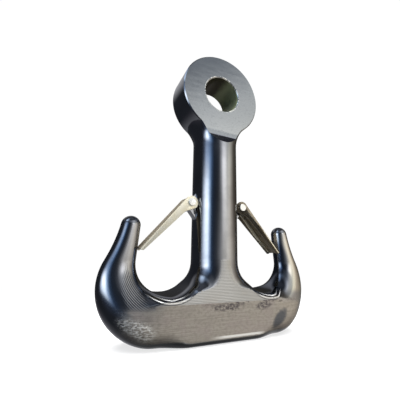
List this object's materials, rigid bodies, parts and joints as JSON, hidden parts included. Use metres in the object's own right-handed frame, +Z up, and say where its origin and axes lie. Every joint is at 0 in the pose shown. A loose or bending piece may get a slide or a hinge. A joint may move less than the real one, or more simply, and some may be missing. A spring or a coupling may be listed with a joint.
{
  "type": "double crane hook with eye",
  "caption": "Ramshorn lifting hook with a bored eye, a round shank, two bowls and a spring-closed sheet-metal safety latch across each mouth.",
  "frame": {"origin": "middle of the flat underside of the base", "axes": "+Z up the shank to the eye, +X across the two hooks, +Y along the eye bore"},
  "size_m": [0.3278, 0.076, 0.4377],
  "materials": {
    "forging": "machined and polished alloy steel with a dark oiled skin",
    "zinc_sheet": "pale yellow zinc plate on pressed sheet",
    "plated_pin": "bright zinc plate",
    "spring_wire": "drawn steel wire"
  },
  "bodies": {
    "hook": {"hook_body": "forging", "left_latch_spring": "spring_wire", "left_pivot_pin": "plated_pin", "left_pin_washer": "plated_pin", "left_split_pin": "spring_wire", "right_latch_spring": "spring_wire", "right_pivot_pin": "plated_pin", "right_pin_washer": "plated_pin", "right_split_pin": "spring_wire"},
    "left_latch": {"left_latch_gate": "zinc_sheet"},
    "right_latch": {"right_latch_gate": "zinc_sheet"}
  },
  "joints": [
    {"name": "left_latch_hinge", "type": "hinge", "parent": "hook", "child": "left_latch", "pos_m": [-0.0435, 0, 0.188], "axis": [0, -1, 0], "range_deg": [0, 38], "stiffness_Nm_per_rad": 0.25, "springref_deg": -34.38, "deforming": ["left_latch_spring"]},
    {"name": "right_latch_hinge", "type": "hinge", "parent": "hook", "child": "right_latch", "pos_m": [0.0435, 0, 0.188], "axis": [0, 1, 0], "range_deg": [0, 38], "stiffness_Nm_per_rad": 0.25, "springref_deg": -34.38, "deforming": ["right_latch_spring"]}
  ]
}
